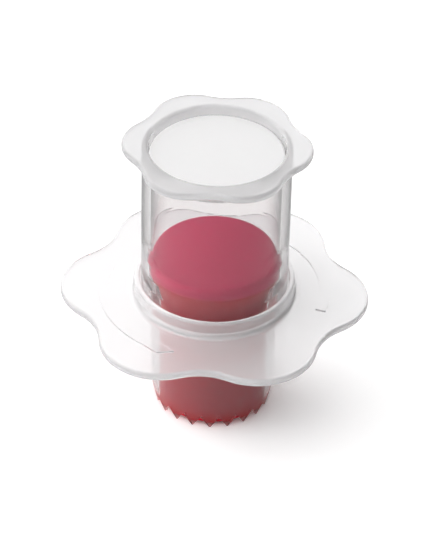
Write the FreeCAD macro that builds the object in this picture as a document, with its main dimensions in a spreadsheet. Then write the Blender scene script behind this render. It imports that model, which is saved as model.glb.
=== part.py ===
import FreeCAD, Part

import math
import os

import Sketcher

# A cupcake corer: a clear toothed tube held in a wavy flange with a collar, and a plunger that
# slides and turns in the collar.  Millimetres, +Z up.  The axis of every piece is Z, and z = 0 is
# at the tooth tips.  A lobe of the flange and a lobe of the rim point along +X.  The plunger is
# drawn fully down.

os.makedirs("parts", exist_ok=True)
doc = FreeCAD.newDocument("cupcake_corer")

# ---------------------------------------------------------------- driving dimensions

DIMENSIONS = {
    # cutter tube
    "cutter_bore": 11.75,            # radius
    "cutter_radius_low": 13.2,       # outer radius at the top of the cutting bevel
    "cutter_radius_high": 13.85,     # outer radius under the flange
    "bevel_height": 4.0,             # height of the outer cutting bevel
    "edge_thickness": 0.6,           # wall left at the tooth tips
    "funnel_height": 1.8,            # cone from the bore up to the plunger's seat
    "funnel_spread": 1.45,           # how much wider the top of that cone is
    "lip_radius": 15.3,              # lip that hangs the tube in the flange
    "lip_thickness": 1.3,
    "fixed_gap": 0.04,               # between pieces that are pressed together
    # teeth
    "tooth_count": 20,
    "tooth_depth": 2.85,
    "tip_angle": 1.6,                # degrees of flat at each tooth tip
    "root_round": 0.3,
    "tooth_phase": 11.2,             # degrees from +X to the first gap between teeth
    "gap_margin": 1.5,               # how far the gap cutter reaches past the wall
    # flange
    "flange_top": 28.45,
    "flange_thickness": 1.9,
    "flange_reach": 33.1,            # axis to the end of a lobe
    "flange_valley": 28.3,           # axis to the bottom of a valley
    "flange_lobe": 13.0,             # radius of a lobe
    "flange_edge_round": 0.75,
    # collar
    "collar_radius": 17.2,
    "collar_top": 32.15,
    "collar_round": 0.6,
    "collar_lead_in": 0.35,
    "collar_fillet": 1.4,
    "hub_radius": 20.5,              # flat middle of the flange, turned with the tube
    # plunger tube
    "tube_radius": 15.75,
    "tube_clearance": 0.3,           # radial gap to the collar
    "tube_bottom": 28.65,
    "seat_gap": 0.1,
    "swivel_bore": 14.0,             # radius of the bore that the ejector's head turns in
    "swivel_stop": 38.75,             # height where that bore starts to narrow, over the head
    "tube_bore": 13.75,              # radius above the narrowing
    "narrowing_height": 4.0,
    "catch_radius": 13.65,           # tighter bore that the head snaps past, and can't fall out of
    "catch_bottom": 32.25,
    "catch_top": 35.45,
    # rim
    "total_height": 66.05,
    "rim_thickness": 1.8,
    "rim_reach": 20.0,
    "rim_valley": 17.9,
    "rim_lobe": 9.2,
    "rim_edge_round": 0.75,
    "spigot_radius": 15.1,           # short sleeve of the rim that is pressed into the tube
    "spigot_ledge": 63.35,            # step in the tube that the sleeve stands on
    "recess_radius": 14.35,
    "recess_mouth_round": 0.8,
    "recess_ledge": 62.35,            # step in the tube that the thumb disc stands on
    # thumb disc
    "disc_radius": 14.2,
    "disc_top": 63.9,
    "disc_plate": 1.4,
    "disc_round": 0.5,
    "skirt_radius": 13.7,
    "skirt_wall": 1.3,
    "skirt_bottom": 61.25,
    # ejector
    "ejector_face": 0.6,
    "ejector_radius": 11.45,
    "ejector_wall": 1.5,
    "ejector_edge": 0.4,
    "cone_bottom": 26.85,             # the ejector flares from here
    "cone_top": 36.05,                # to here, where its lid sits
    "head_radius": 13.92,
    "cap_top": 38.55,
    "cap_plate": 1.5,
    "cap_round": 1.2,
    "plug_radius": 12.05,            # ring under the lid
    "plug_depth": 0.8,
    "plug_wall": 1.4,
    # raised twist arrows on the flange
    "arrow_inner": 22.7,             # radius of the band's inner side
    "arrow_outer": 24.9,
    "arrow_start": 166.0,            # degrees from +X to the blunt tail
    "arrow_sweep": 72.0,             # degrees of band
    "head_skew": 8.0,                # degrees from the inner barb to the outer one
    "head_sweep": 15.5,              # degrees from the inner barb to the tip
    "head_flare": 0.65,
    "head_overlap": 1.0,             # degrees that the head reaches back over the band
    "arrow_relief": 0.45,
    "arrow_root": 0.2,               # how deep the relief is sunk in the flange
}

sheet = doc.addObject("Spreadsheet::Sheet", "dims")
for row, (alias, number) in enumerate(DIMENSIONS.items(), start=1):
    sheet.set(f"A{row}", alias)
    sheet.set(f"B{row}", str(number))
    sheet.setAlias(f"B{row}", alias)
doc.recompute()


class Size:
    """A number together with the formula of sheet cells that gives it."""

    def __init__(self, value, formula):
        self.value = float(value)
        self.formula = formula

    @staticmethod
    def of(number):
        return number if isinstance(number, Size) else Size(number, repr(number))

    def __add__(self, other):
        other = Size.of(other)
        return Size(self.value + other.value, f"({self.formula} + {other.formula})")

    def __sub__(self, other):
        other = Size.of(other)
        return Size(self.value - other.value, f"({self.formula} - {other.formula})")

    def __mul__(self, other):
        other = Size.of(other)
        return Size(self.value * other.value, f"({self.formula} * {other.formula})")

    def __truediv__(self, other):
        other = Size.of(other)
        return Size(self.value / other.value, f"({self.formula} / {other.formula})")

    def __neg__(self):
        return Size(-self.value, f"(-1 * {self.formula})")

    def __radd__(self, other):
        return Size.of(other) + self

    def __rsub__(self, other):
        return Size.of(other) - self

    def __rmul__(self, other):
        return Size.of(other) * self

    def __rtruediv__(self, other):
        return Size.of(other) / self


def cell(alias):
    return Size(getattr(sheet, alias), f"dims.{alias}")


def cosine(degrees):
    degrees = Size.of(degrees)
    return Size(math.cos(math.radians(degrees.value)), f"cos({degrees.formula})")


def sine(degrees):
    degrees = Size.of(degrees)
    return Size(math.sin(math.radians(degrees.value)), f"sin({degrees.formula})")


def tangent(degrees):
    degrees = Size.of(degrees)
    return Size(math.tan(math.radians(degrees.value)), f"tan({degrees.formula})")


def polar(radius, degrees):
    return (radius * cosine(degrees), radius * sine(degrees))


# ---------------------------------------------------------------- sketches

ORIGIN = (-1, 1)
X_AXIS = -1
Y_AXIS = -2
START, END, CENTRE = 1, 2, 3
NORMAL = FreeCAD.Vector(0, 0, 1)
SMALL = 1e-6


def bind(item, name, size):
    """Sets a property of a document object to a size and ties it to the sheet."""
    item.setExpression(name, size.formula)


def new_body(name):
    body = doc.addObject("PartDesign::Body", name)
    body.Label = name
    return body


def origin_item(body, role):
    return next(item for item in body.Origin.OriginFeatures if item.Role == role)


def new_sketch(body, name, plane, height=None, turn=None):
    """A sketch on an origin plane, raised along its normal or turned about its own Y axis."""
    sketch = body.newObject("Sketcher::SketchObject", name)
    sketch.AttachmentSupport = [(origin_item(body, plane), "")]
    sketch.MapMode = "FlatFace"
    if turn is not None:
        spin = FreeCAD.Rotation(FreeCAD.Vector(0, 1, 0), turn.value)
        sketch.AttachmentOffset = FreeCAD.Placement(FreeCAD.Vector(), spin)
        bind(sketch, "AttachmentOffset.Rotation.Angle", turn)
    if height is not None:
        bind(sketch, "AttachmentOffset.Base.z", height)
    return sketch


def limit(sketch, kind, where, size):
    """Adds a dimension whose value follows the sheet."""
    index = sketch.addConstraint(Sketcher.Constraint(kind, *where, size.value))
    bind(sketch, f"Constraints[{index}]", size)


def pin(sketch, geometry, point, x, y):
    """Fixes a point of a sketch at x, y from the origin."""
    if abs(x.value) < SMALL:
        sketch.addConstraint(Sketcher.Constraint("PointOnObject", geometry, point, Y_AXIS))
    else:
        limit(sketch, "DistanceX", (*ORIGIN, geometry, point), x)
    if abs(y.value) < SMALL:
        sketch.addConstraint(Sketcher.Constraint("PointOnObject", geometry, point, X_AXIS))
    else:
        limit(sketch, "DistanceY", (*ORIGIN, geometry, point), y)


def draw_polygon(sketch, corners):
    """A closed outline of straight lines through the corners."""
    corners = [(Size.of(x), Size.of(y)) for x, y in corners]
    points = [FreeCAD.Vector(x.value, y.value, 0) for x, y in corners]
    lines = []
    for start, end in zip(points, points[1:] + points[:1]):
        lines.append(sketch.addGeometry(Part.LineSegment(start, end), False))
    for line, following in zip(lines, lines[1:] + lines[:1]):
        sketch.addConstraint(Sketcher.Constraint("Coincident", line, END, following, START))
    for line, (x, y) in zip(lines, corners):
        pin(sketch, line, START, x, y)


def draw_circle(sketch, radius):
    """A circle about the sketch's origin."""
    circle = Part.Circle(FreeCAD.Vector(), NORMAL, radius.value)
    index = sketch.addGeometry(circle, False)
    sketch.addConstraint(Sketcher.Constraint("Coincident", index, CENTRE, *ORIGIN))
    limit(sketch, "Radius", (index,), radius)


def arc_between(centre, radius, start, end):
    """An arc about a centre, counter-clockwise from the direction of start to that of end."""
    first = math.atan2(start.y - centre.y, start.x - centre.x)
    last = math.atan2(end.y - centre.y, end.x - centre.x)
    return Part.ArcOfCircle(Part.Circle(centre, NORMAL, radius), first, last)


LOBES = 6
LOBE_PITCH = 360.0 / LOBES
ARROWS = 2


def draw_wave(sketch, reach, valley, lobe):
    """A six-lobed outline: convex arcs of radius lobe, joined by tangent concave arcs."""
    lobe_distance = reach - lobe
    across = 2 * lobe_distance * cosine(LOBE_PITCH / 2)
    surplus = lobe_distance * lobe_distance + valley * valley - across * valley - lobe * lobe
    hollow = surplus / (2 * lobe + across - 2 * valley)
    lobe_centres = [polar(lobe_distance, LOBE_PITCH * i) for i in range(LOBES)]
    hollow_centres = [polar(valley + hollow, LOBE_PITCH * (i + 0.5)) for i in range(LOBES)]
    bumps = [FreeCAD.Vector(x.value, y.value, 0) for x, y in lobe_centres]
    dips = [FreeCAD.Vector(x.value, y.value, 0) for x, y in hollow_centres]
    share = lobe.value / (lobe.value + hollow.value)

    def touch(bump, dip):
        return bump + (dip - bump) * share

    lobe_arcs = []
    hollow_arcs = []
    for i in range(LOBES):
        following = (i + 1) % LOBES
        before = touch(bumps[i], dips[i - 1])
        after = touch(bumps[i], dips[i])
        onward = touch(bumps[following], dips[i])
        bump = arc_between(bumps[i], lobe.value, before, after)
        dip = arc_between(dips[i], hollow.value, onward, after)
        lobe_arcs.append(sketch.addGeometry(bump, False))
        hollow_arcs.append(sketch.addGeometry(dip, False))
    for i in range(LOBES):
        following = lobe_arcs[(i + 1) % LOBES]
        here, dip = lobe_arcs[i], hollow_arcs[i]
        sketch.addConstraint(Sketcher.Constraint("Tangent", here, END, dip, END))
        sketch.addConstraint(Sketcher.Constraint("Tangent", dip, START, following, START))
        pin(sketch, here, CENTRE, *lobe_centres[i])
        limit(sketch, "Radius", (here,), lobe)
        limit(sketch, "Radius", (dip,), hollow)


RUN_OUT = 0.4    # how far the flanks of a gap run on below the tooth tips, as a share of its depth


def draw_gap(sketch, half_width, depth, root):
    """The outline of one gap between teeth: two flanks joined by a round root.  The flanks are
    half_width from the middle at the tooth tips."""
    run_out = depth * RUN_OUT
    wide = half_width * (1 + RUN_OUT)
    low_left = FreeCAD.Vector(-wide.value, -run_out.value, 0)
    low_right = FreeCAD.Vector(wide.value, -run_out.value, 0)
    centre = FreeCAD.Vector(0, depth.value - root.value, 0)
    flank = math.atan2(depth.value, half_width.value)
    away = FreeCAD.Vector(math.sin(flank), math.cos(flank), 0) * root.value
    right = centre + away
    left = centre + FreeCAD.Vector(-away.x, away.y, 0)
    up = sketch.addGeometry(Part.LineSegment(low_left, left), False)
    round_root = sketch.addGeometry(arc_between(centre, root.value, right, left), False)
    down = sketch.addGeometry(Part.LineSegment(right, low_right), False)
    across = sketch.addGeometry(Part.LineSegment(low_right, low_left), False)
    sketch.addConstraint(Sketcher.Constraint("Tangent", up, END, round_root, END))
    sketch.addConstraint(Sketcher.Constraint("Tangent", round_root, START, down, START))
    sketch.addConstraint(Sketcher.Constraint("Coincident", down, END, across, START))
    sketch.addConstraint(Sketcher.Constraint("Coincident", across, END, up, START))
    pin(sketch, up, START, -wide, -run_out)
    pin(sketch, down, END, wide, -run_out)
    pin(sketch, round_root, CENTRE, Size.of(0), depth - root)
    limit(sketch, "Radius", (round_root,), root)


# ---------------------------------------------------------------- features


def revolve(body, name, sketch, sweep=None):
    turned = body.newObject("PartDesign::Revolution", name)
    turned.Profile = sketch
    turned.ReferenceAxis = (sketch, ["V_Axis"])
    turned.Angle = 360
    if sweep is not None:
        bind(turned, "Angle", sweep)
    turned.Refine = True
    doc.recompute()
    return turned


def pad(body, name, sketch, length):
    raised = body.newObject("PartDesign::Pad", name)
    raised.Profile = sketch
    bind(raised, "Length", length)
    raised.Refine = True
    doc.recompute()
    return raised


def ring_edges(feature, radius, height):
    """The feature's round edges about the axis, at this radius and height."""
    names = []
    for number, edge in enumerate(feature.Shape.Edges, start=1):
        if not isinstance(edge.Curve, Part.Circle):
            continue
        centre = edge.Curve.Center
        on_axis = math.hypot(centre.x, centre.y) < SMALL
        same_height = abs(centre.z - height.value) < SMALL
        if on_axis and same_height and abs(edge.Curve.Radius - radius.value) < SMALL:
            names.append(f"Edge{number}")
    return names


def outline_edges(feature, valley, heights):
    """The feature's edges at these heights that lie beyond the valleys of a wavy outline."""
    names = []
    for number, edge in enumerate(feature.Shape.Edges, start=1):
        box = edge.BoundBox
        level = any(abs(box.ZMin - z.value) < SMALL and abs(box.ZMax - z.value) < SMALL
                    for z in heights)
        beyond = all(math.hypot(v.X, v.Y) > valley.value - SMALL for v in edge.Vertexes)
        if level and beyond:
            names.append(f"Edge{number}")
    return names


def fillet(body, name, base, edges, radius):
    rounded = body.newObject("PartDesign::Fillet", name)
    rounded.Base = (base, edges)
    bind(rounded, "Radius", radius)
    doc.recompute()
    return rounded


def around(body, name, originals, count):
    """Repeats features evenly about Z."""
    pattern = body.newObject("PartDesign::PolarPattern", name)
    pattern.Originals = originals
    pattern.Axis = (origin_item(body, "Z_Axis"), [""])
    pattern.Angle = 360
    pattern.Occurrences = int(count.value)
    if count.formula.startswith("dims."):
        bind(pattern, "Occurrences", count)
    pattern.Refine = True
    body.Tip = pattern
    doc.recompute()
    return pattern


# ---------------------------------------------------------------- corer


def make_cutter_tube():
    """The clear toothed tube, with a lip at its top."""
    body = new_body("cutter_tube")
    bore = cell("cutter_bore")
    seat = cell("tube_bottom") - cell("seat_gap")
    lip_bottom = seat - cell("lip_thickness")

    section = new_sketch(body, "cutter_section", "XZ_Plane")
    draw_polygon(section, [
        (bore, 0),
        (bore + cell("edge_thickness"), 0),
        (cell("cutter_radius_low"), cell("bevel_height")),
        (cell("cutter_radius_high"), lip_bottom),
        (cell("lip_radius"), lip_bottom),
        (cell("lip_radius"), seat),
        (bore + cell("funnel_spread"), seat),
        (bore, seat - cell("funnel_height")),
    ])
    revolve(body, "cutter_turned", section)

    # gaps between the teeth: each flank lies on a plane through the axis
    half_gap = 180 / cell("tooth_count") - cell("tip_angle") / 2
    middle = (bore + cell("cutter_radius_low")) / 2
    sections = []
    for name, distance in (
        ("gap_inside", bore - cell("gap_margin")),
        ("gap_outside", cell("cutter_radius_low") + cell("gap_margin")),
    ):
        gap = new_sketch(body, name, "YZ_Plane", turn=cell("tooth_phase"))
        bind(gap, "AttachmentOffset.Base.x", distance * sine(cell("tooth_phase")))
        bind(gap, "AttachmentOffset.Base.z", distance * cosine(cell("tooth_phase")))
        root = cell("root_round") * distance / middle
        draw_gap(gap, distance * tangent(half_gap), cell("tooth_depth"), root)
        sections.append(gap)
    cutter = body.newObject("PartDesign::SubtractiveLoft", "gap")
    cutter.Profile = sections[0]
    cutter.Sections = sections[1:]
    cutter.Ruled = True
    doc.recompute()
    around(body, "teeth", [cutter], cell("tooth_count"))
    return body


def make_petal_flange():
    """The translucent wavy flange with the collar that guides the plunger."""
    body = new_body("petal_flange")
    top = cell("flange_top")
    under = top - cell("flange_thickness")
    collar_bore = cell("tube_radius") + cell("tube_clearance")
    seat = cell("tube_bottom") - cell("seat_gap")
    lip_bottom = seat - cell("lip_thickness") - cell("fixed_gap")
    neck = cell("cutter_radius_high") + cell("fixed_gap")
    lip_bore = cell("lip_radius") + cell("fixed_gap")

    section = new_sketch(body, "hub_section", "XZ_Plane")
    draw_polygon(section, [
        (neck, under),
        (cell("hub_radius"), under),
        (cell("hub_radius"), top),
        (cell("collar_radius"), top),
        (cell("collar_radius"), cell("collar_top")),
        (collar_bore, cell("collar_top")),
        (collar_bore, seat),
        (lip_bore, seat),
        (lip_bore, lip_bottom),
        (neck, lip_bottom),
    ])
    revolve(body, "hub_turned", section)

    outline = new_sketch(body, "flange_outline", "XY_Plane", height=under)
    draw_wave(outline, cell("flange_reach"), cell("flange_valley"), cell("flange_lobe"))
    draw_circle(outline, collar_bore)
    last = pad(body, "flange", outline, cell("flange_thickness"))

    edges = outline_edges(last, cell("flange_valley"), (under, top))
    last = fillet(body, "flange_edge", last, edges, cell("flange_edge_round"))
    for name, radius, height, size in (
        ("collar_foot", cell("collar_radius"), top, cell("collar_fillet")),
        ("collar_crown", cell("collar_radius"), cell("collar_top"), cell("collar_round")),
        ("collar_mouth", collar_bore, cell("collar_top"), cell("collar_lead_in")),
    ):
        last = fillet(body, name, last, ring_edges(last, radius, height), size)

    # twist arrows, in low relief
    arrow_bottom = top - cell("arrow_root")
    arrow_top = top + cell("arrow_relief")
    inner, outer = cell("arrow_inner"), cell("arrow_outer")
    band_section = new_sketch(body, "arrow_section", "XZ_Plane", turn=cell("arrow_start"))
    draw_polygon(band_section, [
        (inner, arrow_bottom),
        (outer, arrow_bottom),
        (outer, arrow_top),
        (inner, arrow_top),
    ])
    band = revolve(body, "arrow_band", band_section, cell("arrow_sweep"))
    head_start = cell("arrow_start") + cell("arrow_sweep")
    head_outline = new_sketch(body, "arrow_head_outline", "XY_Plane", height=arrow_bottom)
    draw_polygon(head_outline, [
        polar(inner - cell("head_flare"), head_start - cell("head_overlap")),
        polar((inner + outer) / 2, head_start + cell("head_sweep")),
        polar(outer + cell("head_flare"), head_start + cell("head_skew")),
        polar(outer, head_start - cell("head_overlap")),
    ])
    head = pad(body, "arrow_head", head_outline, cell("arrow_root") + cell("arrow_relief"))
    around(body, "both_arrows", [band, head], Size.of(ARROWS))
    return body


# ---------------------------------------------------------------- plunger


def make_plunger_tube():
    """The clear tube.  The ejector's head turns in it, between a narrowing and a catch."""
    body = new_body("plunger_tube")
    rim_under = cell("total_height") - cell("rim_thickness")
    section = new_sketch(body, "tube_section", "XZ_Plane")
    draw_polygon(section, [
        (cell("catch_radius"), cell("tube_bottom")),
        (cell("tube_radius"), cell("tube_bottom")),
        (cell("tube_radius"), rim_under),
        (cell("spigot_radius"), rim_under),
        (cell("spigot_radius"), cell("spigot_ledge")),
        (cell("recess_radius"), cell("spigot_ledge")),
        (cell("recess_radius"), cell("recess_ledge")),
        (cell("tube_bore"), cell("recess_ledge")),
        (cell("tube_bore"), cell("swivel_stop") + cell("narrowing_height")),
        (cell("swivel_bore"), cell("swivel_stop")),
        (cell("swivel_bore"), cell("catch_top")),
        (cell("catch_radius"), cell("catch_bottom")),
    ])
    revolve(body, "tube_turned", section)
    return body


def make_petal_rim():
    """The translucent wavy rim, with a sleeve that is pressed into the top of the tube."""
    body = new_body("petal_rim")
    top = cell("total_height")
    under = top - cell("rim_thickness") + cell("fixed_gap")
    sleeve = cell("spigot_radius") - cell("fixed_gap")
    sleeve_bottom = cell("spigot_ledge") + cell("fixed_gap")

    section = new_sketch(body, "sleeve_section", "XZ_Plane")
    draw_polygon(section, [
        (cell("recess_radius"), sleeve_bottom),
        (sleeve, sleeve_bottom),
        (sleeve, under),
        (cell("tube_radius"), under),
        (cell("tube_radius"), top),
        (cell("recess_radius"), top),
    ])
    revolve(body, "sleeve_turned", section)

    outline = new_sketch(body, "rim_outline", "XY_Plane", height=under)
    draw_wave(outline, cell("rim_reach"), cell("rim_valley"), cell("rim_lobe"))
    draw_circle(outline, sleeve)
    last = pad(body, "rim", outline, cell("rim_thickness") - cell("fixed_gap"))

    edges = outline_edges(last, cell("rim_valley"), (under, top))
    last = fillet(body, "rim_edge", last, edges, cell("rim_edge_round"))
    edges = ring_edges(last, cell("recess_radius"), top)
    fillet(body, "recess_mouth", last, edges, cell("recess_mouth_round"))
    return body


def make_thumb_disc():
    """The white disc that closes the plunger tube."""
    body = new_body("thumb_disc")
    top = cell("disc_top")
    seat = cell("recess_ledge") + cell("fixed_gap")
    skirt_inside = cell("skirt_radius") - cell("skirt_wall")
    section = new_sketch(body, "disc_section", "XZ_Plane")
    draw_polygon(section, [
        (0, top - cell("disc_plate")),
        (skirt_inside, top - cell("disc_plate")),
        (skirt_inside, cell("skirt_bottom")),
        (cell("skirt_radius"), cell("skirt_bottom")),
        (cell("skirt_radius"), seat),
        (cell("disc_radius"), seat),
        (cell("disc_radius"), top),
        (0, top),
    ])
    turned = revolve(body, "disc_turned", section)
    edges = ring_edges(turned, cell("disc_radius"), top)
    fillet(body, "disc_edge", turned, edges, cell("disc_round"))
    return body


def make_ejector_cup():
    """The hollow red ejector, closed below, with a flared head."""
    body = new_body("ejector_cup")
    face = cell("ejector_face")
    floor = face + cell("ejector_wall")
    radius = cell("ejector_radius")
    head = cell("head_radius")
    section = new_sketch(body, "cup_section", "XZ_Plane")
    draw_polygon(section, [
        (0, face),
        (radius, face),
        (radius, cell("cone_bottom")),
        (head, cell("cone_top")),
        (head - cell("ejector_wall"), cell("cone_top")),
        (radius - cell("ejector_wall"), cell("cone_bottom")),
        (radius - cell("ejector_wall"), floor),
        (0, floor),
    ])
    turned = revolve(body, "cup_turned", section)
    fillet(body, "cup_edge", turned, ring_edges(turned, radius, face), cell("ejector_edge"))
    return body


def make_ejector_cap():
    """The lid that makes the ejector's round head, with a ring that holds it in the cup."""
    body = new_body("ejector_cap")
    head = cell("head_radius")
    seat = cell("cone_top") + cell("fixed_gap")
    plug = cell("plug_radius")
    plug_bottom = seat - cell("plug_depth")
    under = cell("cap_top") - cell("cap_plate")
    section = new_sketch(body, "cap_section", "XZ_Plane")
    draw_polygon(section, [
        (0, under),
        (plug - cell("plug_wall"), under),
        (plug - cell("plug_wall"), plug_bottom),
        (plug, plug_bottom),
        (plug, seat),
        (head, seat),
        (head, cell("cap_top")),
        (0, cell("cap_top")),
    ])
    turned = revolve(body, "cap_turned", section)
    edges = ring_edges(turned, head, cell("cap_top"))
    fillet(body, "cap_edge", turned, edges, cell("cap_round"))
    return body


pieces = [
    make_cutter_tube(),
    make_petal_flange(),
    make_plunger_tube(),
    make_petal_rim(),
    make_thumb_disc(),
    make_ejector_cup(),
    make_ejector_cap(),
]
doc.recompute()

failed = [item.Name for item in doc.Objects if {"Invalid", "Error"} & set(item.State)]
if failed:
    raise RuntimeError(f"failed objects: {failed}")
for piece in pieces:
    shape = piece.Shape
    if shape.isNull() or not shape.isValid() or len(shape.Solids) != 1:
        raise RuntimeError(f"{piece.Label} is not one valid solid")
    shape.exportStep(f"parts/{piece.Label}.step")
    print(piece.Label, round(shape.Volume, 1), shape.BoundBox)
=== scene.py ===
import math

import bpy
from mathutils import Matrix, Vector

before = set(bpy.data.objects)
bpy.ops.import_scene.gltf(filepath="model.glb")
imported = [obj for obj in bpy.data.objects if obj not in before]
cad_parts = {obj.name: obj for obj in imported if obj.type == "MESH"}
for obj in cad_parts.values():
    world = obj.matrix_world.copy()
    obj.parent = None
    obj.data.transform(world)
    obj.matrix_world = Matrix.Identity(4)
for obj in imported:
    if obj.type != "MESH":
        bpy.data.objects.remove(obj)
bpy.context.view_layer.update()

MM = 0.001
scene = bpy.context.scene

# ---------------------------------------------------------------- camera
# Angles are in degrees.

SENSOR_WIDTH = 36.0
FOCAL_RATIO = 3007.0 / 537.0     # focal length over the image's long side
CLIP_NEAR = 0.05
CLIP_FAR = 20.0
AZIMUTH = 3.5
ELEVATION = 37.03
ROLL = 1.33
DISTANCE = 642.2 * MM
AIM = Vector((0.07 * MM, 0.0, 33.85 * MM))


def make_camera():
    """A long lens above the front, leaning a little."""
    azimuth, elevation, roll = (math.radians(angle) for angle in (AZIMUTH, ELEVATION, ROLL))
    flat = Vector((math.sin(azimuth), -math.cos(azimuth), 0.0))
    back = flat * math.cos(elevation) + Vector((0.0, 0.0, math.sin(elevation)))
    level = Vector((math.cos(azimuth), math.sin(azimuth), 0.0))
    rise = back.cross(level)
    right = level * math.cos(roll) + rise * math.sin(roll)
    up = rise * math.cos(roll) - level * math.sin(roll)
    data = bpy.data.cameras.new("camera")
    data.sensor_width = SENSOR_WIDTH
    data.lens = FOCAL_RATIO * SENSOR_WIDTH
    data.clip_start = CLIP_NEAR
    data.clip_end = CLIP_FAR
    camera = bpy.data.objects.new("camera", data)
    turn = Matrix((right, up, back)).transposed().to_4x4()
    camera.matrix_world = Matrix.Translation(AIM + back * DISTANCE) @ turn
    scene.collection.objects.link(camera)
    scene.camera = camera


# ---------------------------------------------------------------- node helpers

NOISE_DETAIL = 3.0
NOISE_LOW = 0.3                  # nearly all of a noise texture's values lie between these two
NOISE_HIGH = 0.7
EVEN = (1.0, 1.0, 1.0)


def empty_material(name):
    """A material with only an output node."""
    material = bpy.data.materials.new(name)
    material.use_nodes = True
    tree = material.node_tree
    tree.nodes.clear()
    return material, tree, tree.nodes.new("ShaderNodeOutputMaterial")


def plastic_material(name):
    """A material with a Principled shader on its output."""
    material, tree, output = empty_material(name)
    shader = tree.nodes.new("ShaderNodeBsdfPrincipled")
    tree.links.new(shader.outputs["BSDF"], output.inputs["Surface"])
    return material, tree, shader, output


def noise(tree, scale, detail=NOISE_DETAIL, stretch=EVEN):
    """Noise over the object, in features of roughly 1 / scale metres."""
    place = tree.nodes.new("ShaderNodeTexCoord")
    mapping = tree.nodes.new("ShaderNodeMapping")
    mapping.inputs["Scale"].default_value = stretch
    texture = tree.nodes.new("ShaderNodeTexNoise")
    texture.inputs["Scale"].default_value = scale
    texture.inputs["Detail"].default_value = detail
    tree.links.new(place.outputs["Object"], mapping.inputs["Vector"])
    tree.links.new(mapping.outputs["Vector"], texture.inputs["Vector"])
    return texture.outputs["Fac"]


def own_height(tree):
    """Height along the piece, which stays with it when it moves."""
    place = tree.nodes.new("ShaderNodeTexCoord")
    upward = tree.nodes.new("ShaderNodeSeparateXYZ")
    tree.links.new(place.outputs["Object"], upward.inputs["Vector"])
    return upward.outputs["Z"]


def remap(tree, source, start, end, low=0.0, high=1.0):
    """Carries start..end to low..high, and stops at both ends."""
    node = tree.nodes.new("ShaderNodeMapRange")
    node.inputs["From Min"].default_value = start
    node.inputs["From Max"].default_value = end
    node.inputs["To Min"].default_value = low
    node.inputs["To Max"].default_value = high
    tree.links.new(source, node.inputs["Value"])
    return node.outputs["Result"]


def multiply(tree, first, second):
    node = tree.nodes.new("ShaderNodeMath")
    node.operation = "MULTIPLY"
    tree.links.new(first, node.inputs[0])
    tree.links.new(second, node.inputs[1])
    return node.outputs["Value"]


def blend_colours(tree, source, first, second):
    """Goes from first to second as source goes from 0 to 1. Each is a colour or an output."""
    node = tree.nodes.new("ShaderNodeMix")
    node.data_type = "RGBA"
    tree.links.new(source, node.inputs["Factor"])
    for socket, colour in ((node.inputs["A"], first), (node.inputs["B"], second)):
        if isinstance(colour, bpy.types.NodeSocket):
            tree.links.new(colour, socket)
        else:
            socket.default_value = (*colour, 1.0)
    return node.outputs["Result"]


def grey(level):
    return (level, level, level)


# ---------------------------------------------------------------- plastics
# Scales are in features per metre. Heights are above the tips of the teeth, with the plunger down.

CLEAR_SURFACE = dict(roughness=(0.01, 0.03), gloss_scale=900.0, grain_scale=120.0,
                     grain_detail=2.0, grain_depth=0.01 * MM, stretch=(1.0, 1.0, 0.3))
MILKY_SURFACE = dict(roughness=(0.05, 0.10), gloss_scale=700.0, grain_scale=150.0,
                     grain_detail=2.0, grain_depth=0.02 * MM)
WHITE_SURFACE = dict(roughness=(0.45, 0.55), gloss_scale=800.0, grain_scale=1500.0,
                     grain_detail=4.0, grain_depth=0.01 * MM)
RED_SURFACE = dict(roughness=(0.28, 0.36), gloss_scale=600.0, grain_scale=1200.0,
                   grain_detail=4.0, grain_depth=0.01 * MM)

CLEAR_SHADE_SCALE = 60.0
CLEAR_SHADE_STEP = 0.01
MILKY_SHADE_SCALE = 50.0
MILKY_SHADE_STEP = 0.02
MILKY_GREEN_STEP = 0.005
WHITE_SHADE_SCALE = 80.0
WHITE_LEVEL_HIGH = 0.98
WHITE_LEVEL_LOW = 0.96
RED_SHADE_SCALE = 70.0
RED_SHADE_FACTOR = 0.94

CLEAR_IOR = 1.2                  # low, so that the walls bend light little
MILKY_IOR = 1.49
DEPTH_COLOUR = (0.60, 0.585, 0.59)
CLEAR_DENSITY = 25.0
MILKY_DENSITY = 8.0

GRAZING_START = 0.45             # how far a wall turns away before its painted edge shade begins
GRAZING_END = 0.85
EDGE_FADE_LOW = 34 * MM          # below this height the walls have no painted edge shade
EDGE_FADE_HIGH = 44 * MM
FOOT_LOW = 2.0 * MM              # below this height the wall has the painted foot colour alone
FOOT_HIGH = 4.5 * MM

WHITE_TRANSMISSION = 0.3
RED_SPECULAR = 0.15


def finish_surface(tree, shader, roughness, gloss_scale, grain_scale, grain_detail, grain_depth,
                   stretch=EVEN):
    """Uneven gloss and a fine grain."""
    gloss = remap(tree, noise(tree, gloss_scale), NOISE_LOW, NOISE_HIGH, *roughness)
    tree.links.new(gloss, shader.inputs["Roughness"])
    grain = noise(tree, grain_scale, grain_detail, stretch)
    node = tree.nodes.new("ShaderNodeBump")
    node.inputs["Strength"].default_value = 1.0
    node.inputs["Distance"].default_value = grain_depth
    tree.links.new(grain, node.inputs["Height"])
    tree.links.new(node.outputs["Normal"], shader.inputs["Normal"])


def tint_depth(tree, output, density):
    """Absorbs light along its way through the piece."""
    depth = tree.nodes.new("ShaderNodeVolumeAbsorption")
    depth.inputs["Color"].default_value = (*DEPTH_COLOUR, 1.0)
    depth.inputs["Density"].default_value = density
    tree.links.new(depth.outputs["Volume"], output.inputs["Volume"])


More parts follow.
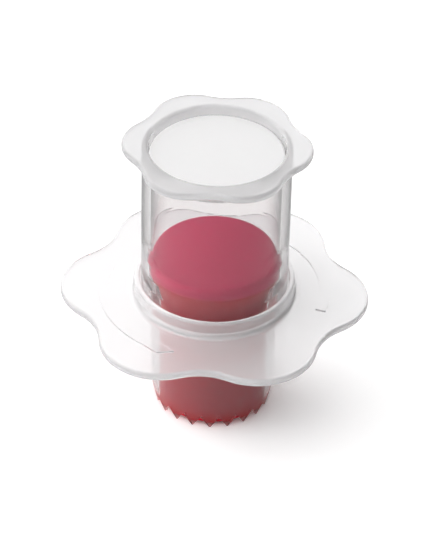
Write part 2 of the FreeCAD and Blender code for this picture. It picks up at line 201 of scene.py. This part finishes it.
def clear_plastic(name, shade, haze, painted_edge_shade, painted_foot):
    """Polished clear plastic: painted shade darkens its edges high up, where they turn away, and
    its foot carries a painted colour, on the cutter a painted red reflection of the ejector.
    """
    material, tree, shader, output = plastic_material(name)
    shader.inputs["Transmission Weight"].default_value = 1.0 - haze
    shader.inputs["IOR"].default_value = CLEAR_IOR
    pale = (shade, shade - CLEAR_SHADE_STEP, shade - CLEAR_SHADE_STEP)
    wall = blend_colours(tree, noise(tree, CLEAR_SHADE_SCALE), pale,
                         [level - CLEAR_SHADE_STEP for level in pale])
    height = own_height(tree)
    # Painted shade: the base colour darkens where the wall turns away, high up on the piece.
    facing = tree.nodes.new("ShaderNodeLayerWeight").outputs["Facing"]
    grazing = remap(tree, facing, GRAZING_START, GRAZING_END)
    high_up = remap(tree, height, EDGE_FADE_LOW, EDGE_FADE_HIGH)
    painted_edges = blend_colours(tree, multiply(tree, grazing, high_up), wall, grey(painted_edge_shade))
    # Painted reflection: near the tips the wall takes the painted foot colour, red on the cutter
    # for the ejector reflected in its teeth.
    above_foot = remap(tree, height, FOOT_LOW, FOOT_HIGH)
    colour = blend_colours(tree, above_foot, painted_foot, painted_edges)
    tree.links.new(colour, shader.inputs["Base Color"])
    finish_surface(tree, shader, **CLEAR_SURFACE)
    tint_depth(tree, output, CLEAR_DENSITY)
    return material


def milky_plastic(name, haze, white):
    """Translucent natural polypropylene: a clear image dimmed by a white haze."""
    material, tree, shader, output = plastic_material(name)
    shader.inputs["Transmission Weight"].default_value = 1.0 - haze
    shader.inputs["IOR"].default_value = MILKY_IOR
    pale = (white, white - MILKY_GREEN_STEP, white)
    colour = blend_colours(tree, noise(tree, MILKY_SHADE_SCALE), pale,
                           [level - MILKY_SHADE_STEP for level in pale])
    tree.links.new(colour, shader.inputs["Base Color"])
    finish_surface(tree, shader, **MILKY_SURFACE)
    tint_depth(tree, output, MILKY_DENSITY)
    return material


def white_plastic():
    """White plastic that lets a little light through."""
    material, tree, shader, _ = plastic_material("white_plastic")
    shader.inputs["Transmission Weight"].default_value = WHITE_TRANSMISSION
    colour = blend_colours(tree, noise(tree, WHITE_SHADE_SCALE), grey(WHITE_LEVEL_HIGH),
                           grey(WHITE_LEVEL_LOW))
    tree.links.new(colour, shader.inputs["Base Color"])
    finish_surface(tree, shader, **WHITE_SURFACE)
    return material


def red_plastic(name, red):
    """Satin red plastic."""
    material, tree, shader, _ = plastic_material(name)
    shader.inputs["Specular IOR Level"].default_value = RED_SPECULAR
    colour = blend_colours(tree, noise(tree, RED_SHADE_SCALE), red,
                           [RED_SHADE_FACTOR * level for level in red])
    tree.links.new(colour, shader.inputs["Base Color"])
    finish_surface(tree, shader, **RED_SURFACE)
    return material


def dress_nodes():
    """Gives each piece its plastic. Clear and milky plastic casts no shadow of its own."""
    see_through = {
        # The cutter's painted foot is a painted red reflection of the ejector in its teeth.
        "cutter_tube": clear_plastic("clear_cutter", shade=0.74, haze=0.055,
                                     painted_edge_shade=0.70, painted_foot=(0.78, 0.42, 0.42)),
        "plunger_tube": clear_plastic("clear_plunger", shade=0.90, haze=0.040,
                                      painted_edge_shade=0.04, painted_foot=(0.90, 0.89, 0.89)),
        "petal_flange": milky_plastic("milky_flange", haze=0.29, white=0.93),
        "petal_rim": milky_plastic("milky_rim", haze=0.34, white=0.82),
    }
    solid = {
        "thumb_disc": white_plastic(),
        # One red plastic in two copies: the cup's darker red is painted shade under the flange,
        # and the cap's bluer red is a painted purple sheen on its top.
        "ejector_cup": red_plastic("red_cup_painted_shade", red=(0.54, 0.014, 0.036)),
        "ejector_cap": red_plastic("red_cap_painted_sheen", red=(0.58, 0.007, 0.085)),
    }
    for node, finish in {**see_through, **solid}.items():
        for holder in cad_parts[node].material_slots:
            holder.material = finish
    for node in see_through:
        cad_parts[node].visible_shadow = False


# ---------------------------------------------------------------- studio

FLOOR_HALF = 3.0
FLOOR_GRAIN_SCALE = 4.0
FLOOR_PALE = 0.76
FLOOR_PALE_LOW = 0.74
FLOOR_THROUGH = 1.10
FLOOR_SEEN = 1.20

BRIGHT_SIDE = Vector((-0.80, 0.20, 0.50)).normalized()
SURROUND_DIM = 0.08
SURROUND_BRIGHT = 1.10

CLEAR_BOUNCES = 32
OTHER_BOUNCES = 8


def floor_material():
    """Pale grey paper, lifted towards white where it is seen through a piece, and more where
    it is seen directly."""
    material, tree, output = empty_material("floor")
    paper = tree.nodes.new("ShaderNodeBsdfDiffuse")
    shade = blend_colours(tree, noise(tree, FLOOR_GRAIN_SCALE), grey(FLOOR_PALE),
                          grey(FLOOR_PALE_LOW))
    ray = tree.nodes.new("ShaderNodeLightPath")
    for kind, level in (("Is Transmission Ray", FLOOR_THROUGH), ("Is Camera Ray", FLOOR_SEEN)):
        shade = blend_colours(tree, ray.outputs[kind], shade, grey(level))
    tree.links.new(shade, paper.inputs["Color"])
    tree.links.new(paper.outputs["BSDF"], output.inputs["Surface"])
    return material


def make_floor():
    corners = [(-FLOOR_HALF, -FLOOR_HALF, 0.0), (FLOOR_HALF, -FLOOR_HALF, 0.0),
               (FLOOR_HALF, FLOOR_HALF, 0.0), (-FLOOR_HALF, FLOOR_HALF, 0.0)]
    mesh = bpy.data.meshes.new("floor")
    mesh.from_pydata(corners, [], [(0, 1, 2, 3)])
    mesh.materials.append(floor_material())
    floor = bpy.data.objects.new("floor", mesh)
    scene.collection.objects.link(floor)


def make_softbox(name, place, size, power):
    """A square area light that faces the object."""
    data = bpy.data.lights.new(name, "AREA")
    data.size = size
    data.energy = power
    lamp = bpy.data.objects.new(name, data)
    lamp.location = place
    lamp.rotation_mode = "QUATERNION"
    lamp.rotation_quaternion = (AIM - Vector(place)).to_track_quat("-Z", "Y")
    scene.collection.objects.link(lamp)


def make_surround():
    """A soft surround, brightest towards the upper left and dim on the other side."""
    world = bpy.data.worlds.new("surround")
    world.use_nodes = True
    tree = world.node_tree
    background = tree.nodes["Background"]
    background.inputs["Color"].default_value = (1.0, 1.0, 1.0, 1.0)
    direction = tree.nodes.new("ShaderNodeTexCoord")
    side = tree.nodes.new("ShaderNodeVectorMath")
    side.operation = "DOT_PRODUCT"
    side.inputs[1].default_value = BRIGHT_SIDE
    tree.links.new(direction.outputs["Generated"], side.inputs[0])
    level = remap(tree, side.outputs["Value"], -1.0, 1.0, SURROUND_DIM, SURROUND_BRIGHT)
    tree.links.new(level, background.inputs["Strength"])
    scene.world = world


def make_studio():
    make_floor()
    make_surround()
    make_softbox("key", place=(-0.42, 0.10, 1.05), size=0.65, power=3.7)
    make_softbox("side", place=(-0.80, -0.05, 0.12), size=0.4, power=1.7)
    scene.view_settings.view_transform = "Standard"
    scene.cycles.max_bounces = CLEAR_BOUNCES
    scene.cycles.transmission_bounces = CLEAR_BOUNCES
    scene.cycles.glossy_bounces = OTHER_BOUNCES
    scene.cycles.diffuse_bounces = OTHER_BOUNCES


make_camera()
dress_nodes()
make_studio()
